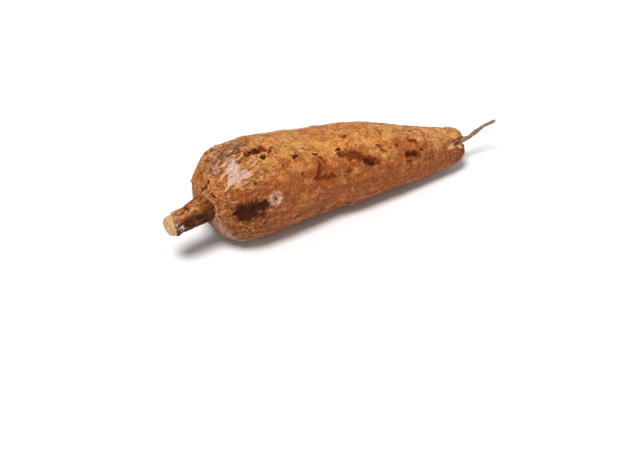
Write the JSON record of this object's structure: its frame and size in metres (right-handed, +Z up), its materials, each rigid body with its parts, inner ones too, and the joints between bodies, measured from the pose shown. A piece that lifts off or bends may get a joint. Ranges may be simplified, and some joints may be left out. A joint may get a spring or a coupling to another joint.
{
  "type": "cassava root",
  "caption": "Whole cassava root lying on its side: a fat brown-barked body with a woody stem stub at one end, tapering to a split tail with a thin feeder root.",
  "frame": {"origin": "on the surface that the root lies on, under the middle of its bounding box", "axes": "+X from the stem stub to the thin tail, +Z up from the resting surface"},
  "size_m": [0.2976, 0.0732, 0.0762],
  "materials": {
    "bark": "Ochre-brown papery bark, waxed and slightly glossy, with dark brown scars, fine cross cracks and a paler grey bloom.",
    "cut_wood": "Bare pale beige wood at the end of the stem stub, cut across, dry and matt."
  },
  "bodies": {
    "root": {"cassava_root": "bark"}
  },
  "joints": []
}
